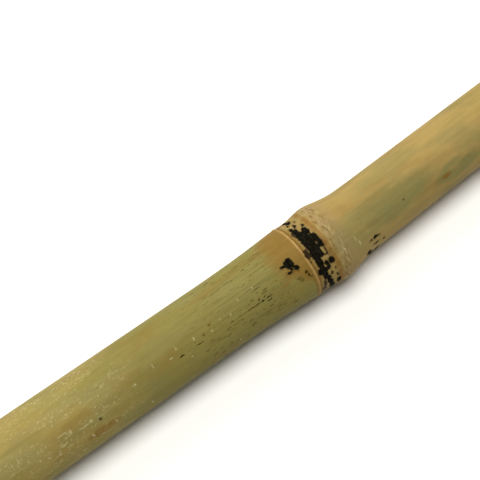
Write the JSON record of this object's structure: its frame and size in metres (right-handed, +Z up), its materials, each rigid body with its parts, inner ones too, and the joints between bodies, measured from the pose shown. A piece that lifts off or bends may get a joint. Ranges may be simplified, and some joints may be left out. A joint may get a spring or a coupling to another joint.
{
  "type": "bamboo cane",
  "caption": "Length of dried bamboo culm lying on the ground: slender tapered stem with swollen ringed nodes, trimmed branch stubs and sawn hollow ends.",
  "frame": {"origin": "on the ground under the middle of the cane's length and width, as it lies", "axes": "+X along the cane from its butt end to its tip, +Z up from the ground it lies on, +Y to the left seen from the butt"},
  "size_m": [0.6, 0.0186, 0.0145],
  "materials": {
    "bamboo_skin": "satin"
  },
  "bodies": {
    "root": {"cane": "bamboo_skin"}
  },
  "joints": []
}
